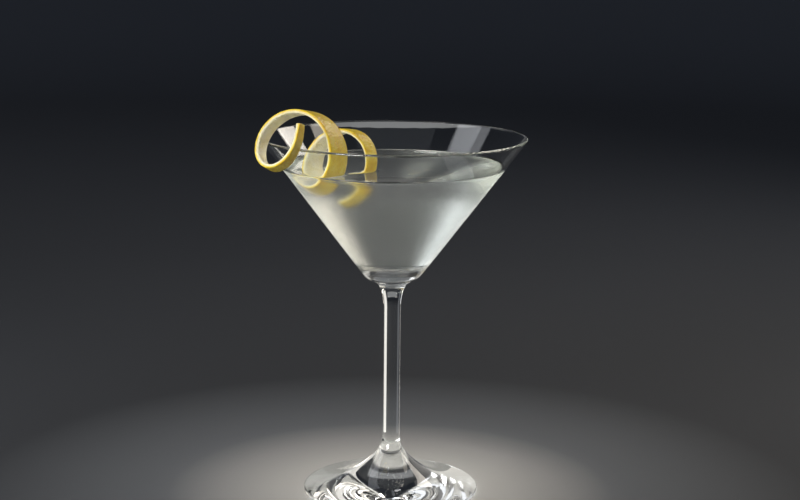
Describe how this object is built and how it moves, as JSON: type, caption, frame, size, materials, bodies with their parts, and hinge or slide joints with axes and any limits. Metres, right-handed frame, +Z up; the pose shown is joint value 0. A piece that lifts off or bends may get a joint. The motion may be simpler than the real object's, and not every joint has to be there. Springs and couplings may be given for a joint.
{
  "type": "martini cocktail",
  "caption": "Martini served in a stemmed conical glass, with a spiral of lemon peel hooked over the rim and dipping in the drink.",
  "frame": {"origin": "centre of the foot's flat underside, on the axis of the stem", "axes": "+Z up the stem; the lemon peel hangs over the rim on the -X side, a little towards -Y"},
  "size_m": [0.109, 0.109, 0.1644],
  "materials": {
    "glass": "polished clear",
    "drink": "clear liquid",
    "peel": "waxy lemon zest over cream pith"
  },
  "bodies": {
    "root": {"glass": "glass", "drink": "drink", "lemon_peel": "peel"}
  },
  "joints": []
}
